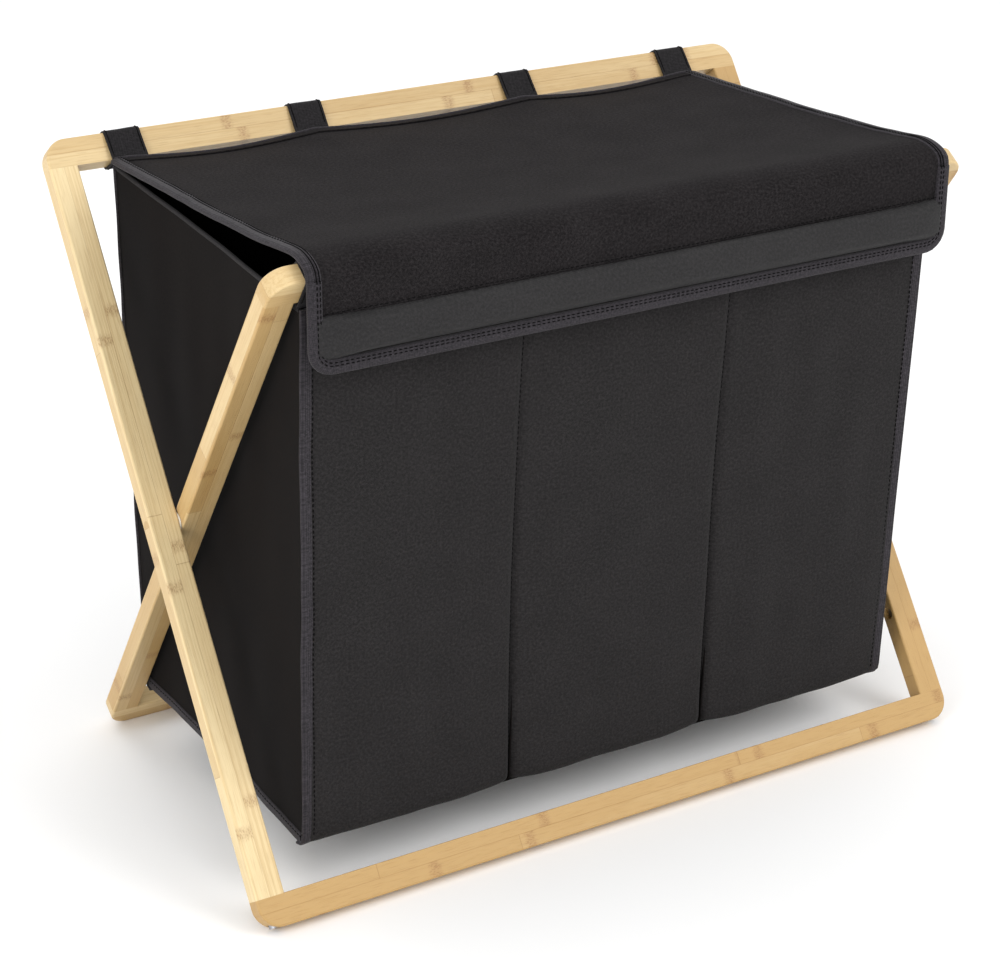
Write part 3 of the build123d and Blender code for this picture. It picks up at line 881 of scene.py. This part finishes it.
def inflate(ob, look):  # cloth that swells by the pressure inside it
    mesh = ob.data.copy()
    puffed = bpy.data.objects.new(ob.name + "Puffed", mesh)
    scene.collection.objects.link(puffed)
    remesh = puffed.modifiers.new("even", "REMESH")
    remesh.mode, remesh.voxel_size = "VOXEL", look["voxel"]
    graph = bpy.context.evaluated_depsgraph_get()
    even = bpy.data.meshes.new_from_object(puffed.evaluated_get(graph))
    puffed.modifiers.clear()
    puffed.data = even
    rest = np.zeros(len(even.vertices) * 3, np.float32)
    even.vertices.foreach_get("co", rest)
    rest = rest.reshape(-1, 3)
    cloth = puffed.modifiers.new("cloth", "CLOTH")
    cloth.settings.use_pressure = True
    cloth.settings.uniform_pressure_force = look["pressure"]
    cloth.settings.effector_weights.gravity = 0
    cloth.settings.quality = 6
    scene.frame_start, scene.frame_end = 1, look["frames"]
    for step in range(1, look["frames"] + 1):
        scene.frame_set(step)
    graph = bpy.context.evaluated_depsgraph_get()
    swollen = bpy.data.meshes.new_from_object(puffed.evaluated_get(graph))
    moved = np.zeros(len(swollen.vertices) * 3, np.float32)
    swollen.vertices.foreach_get("co", moved)
    shift = moved.reshape(-1, 3) - rest
    size = np.linalg.norm(shift, axis=1, keepdims=True)
    shift *= np.minimum(1, look["cap"] / np.maximum(size, 1e-9))
    swollen.vertices.foreach_set("co", (rest + shift).astype(np.float32).ravel())
    swollen.update()
    bpy.data.objects.remove(puffed)
    scene.frame_set(1)
    swollen.materials.clear()
    swollen.materials.append(paints["quilt"])
    swollen.polygons.foreach_set("use_smooth", [True] * len(swollen.polygons))
    ob.data = swollen
    finer = ob.modifiers.new("finer", "SUBSURF")
    finer.levels = finer.render_levels = 1
    print("padding swelled:", len(swollen.vertices), "points, up to", round(float(size.max()) * 1000, 1), "mm")


inflate(flapPad, padLook)

r = flapLook["corner"]
outX, footZ = lidHalf - flapLook["tapeIn"], hemLowZ + flapLook["tapeRise"]
rim = [(-outX, splitZ + 0.001), (-outX, footZ + r)]
rim += [(-outX + r - r * math.cos(a), footZ + r - r * math.sin(a)) for a in np.linspace(0.1, math.pi / 2, 7)]
rim += [(-q[0], q[1]) for q in rim[::-1]]
rimLine = evenly(np.array(rim), 0.004)
rimY = flapY - 0.0006 + flapWaves(rimLine[:, 0])
rimPath = np.stack([rimLine[:, 0], rimY, rimLine[:, 1]], 1)
rimTangent = unit(np.gradient(rimPath, axis=0))
rimAcross = np.stack([rimTangent[:, 2], 0 * rimY, -rimTangent[:, 0]], 1)
flapTape = ribbon("flapTape", rimPath, rimAcross, flapLook["tapeWidth"], flapLook["tapeThick"], "tape", "lid_flap")
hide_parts("flap_hem")
forward = np.tile(np.array([0, -1.0, 0]), (len(rimPath), 1))
for k, shift in enumerate(flapLook["stitchIn"]):
    line = rimPath - rimAcross * shift + forward * (flapLook["tapeThick"] * 0.5 + flapLook["stitchLift"])
    stitchRow(f"flapTapeStitches{k + 1}", line, forward, "lid_flap")
seamRow = np.stack([lx, np.full(len(lx), flapY - 0.0018), np.full(len(lx), bandZ + 0.0012)], 1)
seamFacing = np.tile(np.array([0, -1.0, 0]), (len(lx), 1))
stitchRow("flapSeamStitches", seamRow, seamFacing, "lid_flap")
print("lid and flap made")

# floor, light and camera
studio = {
    "floor": colour(250, 250, 250),
    "floorShade": colour(247, 247, 247),
    "floorDrop": 0.0004,
    "world": 1.0,
    "aim": (0, 0, 0.3),
    "lamps": {  # place, size and power
        "keyLight": ((1.6, -2.4, 2.6), 2.2, 44),
        "fillLight": ((-2.8, -1.2, 1.4), 2.0, 34),
        "backLight": ((-0.6, 2.4, 2.2), 2.0, 14),
    },
}
bpy.ops.mesh.primitive_plane_add(size=14, location=(0, 0, -studio["floorDrop"]))
floor = bpy.context.object
floor.name = "studioFloor"
floorPaint = Paint("studioFloorPaint")
floorGrain = floorPaint.noise(floorPaint.node("TexCoord", None, None, "Object"), 3.0, 2.0)
floorTint = floorPaint.blend(floorGrain, studio["floor"], studio["floorShade"])
dress(floor, floorPaint.set(Base_Color=floorTint, Roughness=0.9))
scene.world = scene.world or bpy.data.worlds.new("studioWorld")
scene.world.use_nodes = True
sky = scene.world.node_tree.nodes.get("Background")
sky.inputs["Color"].default_value = (1, 1, 1, 1)
sky.inputs["Strength"].default_value = studio["world"]
for name, (place, size, power) in studio["lamps"].items():
    lamp = bpy.data.lights.new(name, "AREA")
    lamp.shape, lamp.size, lamp.energy = "DISK", size, power
    ob = bpy.data.objects.new(name, lamp)
    scene.collection.objects.link(ob)
    ob.location = place
    ob.rotation_euler = (Vector(studio["aim"]) - Vector(place)).to_track_quat("-Z", "Y").to_euler()
scene.view_settings.view_transform = "Standard"

view = {
    "place": (-1.064, -1.7383, 1.1475),
    "side": (0.86706, -0.4982, -0.00255),
    "up": (0.18721, 0.32106, 0.92837),
    "back": (-0.4617, -0.80543, 0.37164),
    "lens": 87.96,
    "shift": (0.05, -0.09),
}
camera = bpy.data.cameras.new("camera")
camera.lens, camera.sensor_width = view["lens"], 36
camera.shift_x, camera.shift_y = view["shift"]
cameraObject = bpy.data.objects.new("camera", camera)
scene.collection.objects.link(cameraObject)
turned = Matrix((view["side"], view["up"], view["back"])).transposed().to_4x4()
turned.translation = Vector(view["place"])
cameraObject.matrix_world = turned
scene.camera = cameraObject
print("studio ready")
